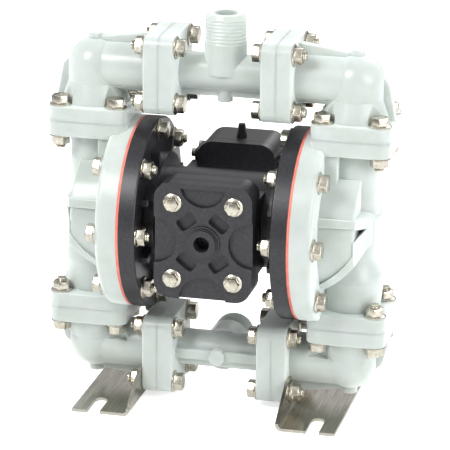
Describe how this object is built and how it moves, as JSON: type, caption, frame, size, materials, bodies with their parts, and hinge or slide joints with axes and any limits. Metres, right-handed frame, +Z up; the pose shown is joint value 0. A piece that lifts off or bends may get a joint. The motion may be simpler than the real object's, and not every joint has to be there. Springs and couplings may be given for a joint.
{
  "type": "air operated double diaphragm pump",
  "caption": "Air operated double diaphragm pump with plastic wetted chambers, ball check valves, bolted manifolds with threaded ports, a centre air valve and sheet metal legs.",
  "frame": {"origin": "on the floor, at the middle of the four foot slots, below the middle of the diaphragm rod", "axes": "+X along the diaphragm rod to the right as seen from the air inlet side, +Y to the back where the air valve and the suction port are, +Z up"},
  "size_m": [0.2712, 0.169, 0.3137],
  "materials": {
    "wetted_plastic": "natural moulded, slightly milky",
    "black_plastic": "moulded, fibre filled",
    "diaphragm_elastomer": "moulded elastomer",
    "seal_rubber": "moulded",
    "machined_aluminium": "machined",
    "bearing_plastic": "machined",
    "ball_plastic": "smooth",
    "sheet_stainless": "bright rolled sheet",
    "insert_brass": "machined",
    "ground_steel": "ground",
    "plated_steel": "stainless, cold formed"
  },
  "bodies": {
    "pump": {"air_inlet_cap": "black_plastic", "block_gasket": "seal_rubber", "cap_bolts": "plated_steel", "cap_gasket": "seal_rubber", "centre_block": "black_plastic", "chamber_bolts": "plated_steel", "chamber_nuts": "plated_steel", "diaphragm_left": "diaphragm_elastomer", "diaphragm_right": "diaphragm_elastomer", "discharge_elbow_left": "wetted_plastic", "discharge_elbow_right": "wetted_plastic", "discharge_manifold": "wetted_plastic", "discharge_seat_left": "ball_plastic", "discharge_seat_right": "ball_plastic", "distributor_plate": "black_plastic", "end_cap_screws": "plated_steel", "hub_screws": "plated_steel", "inner_chamber_left": "black_plastic", "inner_chamber_right": "black_plastic", "joint_bolts": "plated_steel", "joint_nuts": "plated_steel", "leg_bracket_left": "sheet_stainless", "leg_bracket_right": "sheet_stainless", "manifold_bolts": "plated_steel", "manifold_nuts": "plated_steel", "manifold_seals": "seal_rubber", "neck_bolts": "plated_steel", "outer_chamber_left": "wetted_plastic", "outer_chamber_right": "wetted_plastic", "pilot_valve_body": "bearing_plastic", "rod_bushing_left": "bearing_plastic", "rod_bushing_right": "bearing_plastic", "rod_seals": "seal_rubber", "seat_seals": "seal_rubber", "suction_elbow_left": "wetted_plastic", "suction_elbow_right": "wetted_plastic", "suction_manifold": "wetted_plastic", "suction_seat_left": "ball_plastic", "suction_seat_right": "ball_plastic", "threaded_inserts": "insert_brass", "valve_body": "black_plastic", "valve_bolts": "plated_steel", "valve_end_cap_left": "black_plastic", "valve_end_cap_right": "black_plastic", "valve_gasket": "seal_rubber", "valve_sleeve": "machined_aluminium"},
    "rod": {"diaphragm_rod": "ground_steel", "inner_plate_left": "machined_aluminium", "inner_plate_right": "machined_aluminium", "outer_plate_left": "wetted_plastic", "outer_plate_right": "wetted_plastic", "plate_nuts": "wetted_plastic"},
    "air_spool": {"air_valve_spool": "machined_aluminium", "spool_rings": "seal_rubber"},
    "pilot": {"pilot_spool": "ground_steel"},
    "discharge_ball_left_body": {"discharge_ball_left": "ball_plastic"},
    "discharge_ball_right_body": {"discharge_ball_right": "ball_plastic"},
    "suction_ball_left_body": {"suction_ball_left": "ball_plastic"},
    "suction_ball_right_body": {"suction_ball_right": "ball_plastic"}
  },
  "joints": [
    {"name": "rod_slide", "type": "slide", "parent": "pump", "child": "rod", "axis": [1, 0, 0], "range_m": [-0.008, 0.008], "deforming": ["diaphragm_left", "diaphragm_right"]},
    {"name": "air_spool_slide", "type": "slide", "parent": "pump", "child": "air_spool", "axis": [1, 0, 0], "range_m": [-0.005, 0.005]},
    {"name": "pilot_slide", "type": "slide", "parent": "pump", "child": "pilot", "axis": [1, 0, 0], "range_m": [-0.00267, 0.00267]},
    {"name": "discharge_ball_left_lift", "type": "slide", "parent": "pump", "child": "discharge_ball_left_body", "axis": [0, 0, 1], "range_m": [0, 0.007]},
    {"name": "discharge_ball_right_lift", "type": "slide", "parent": "pump", "child": "discharge_ball_right_body", "axis": [0, 0, 1], "range_m": [0, 0.007]},
    {"name": "suction_ball_left_lift", "type": "slide", "parent": "pump", "child": "suction_ball_left_body", "axis": [0, 0, 1], "range_m": [0, 0.007]},
    {"name": "suction_ball_right_lift", "type": "slide", "parent": "pump", "child": "suction_ball_right_body", "axis": [0, 0, 1], "range_m": [0, 0.007]}
  ],
  "couplings": [
    {"joint": "pilot_slide", "follows": "rod_slide", "ratio": 0.3333}
  ]
}
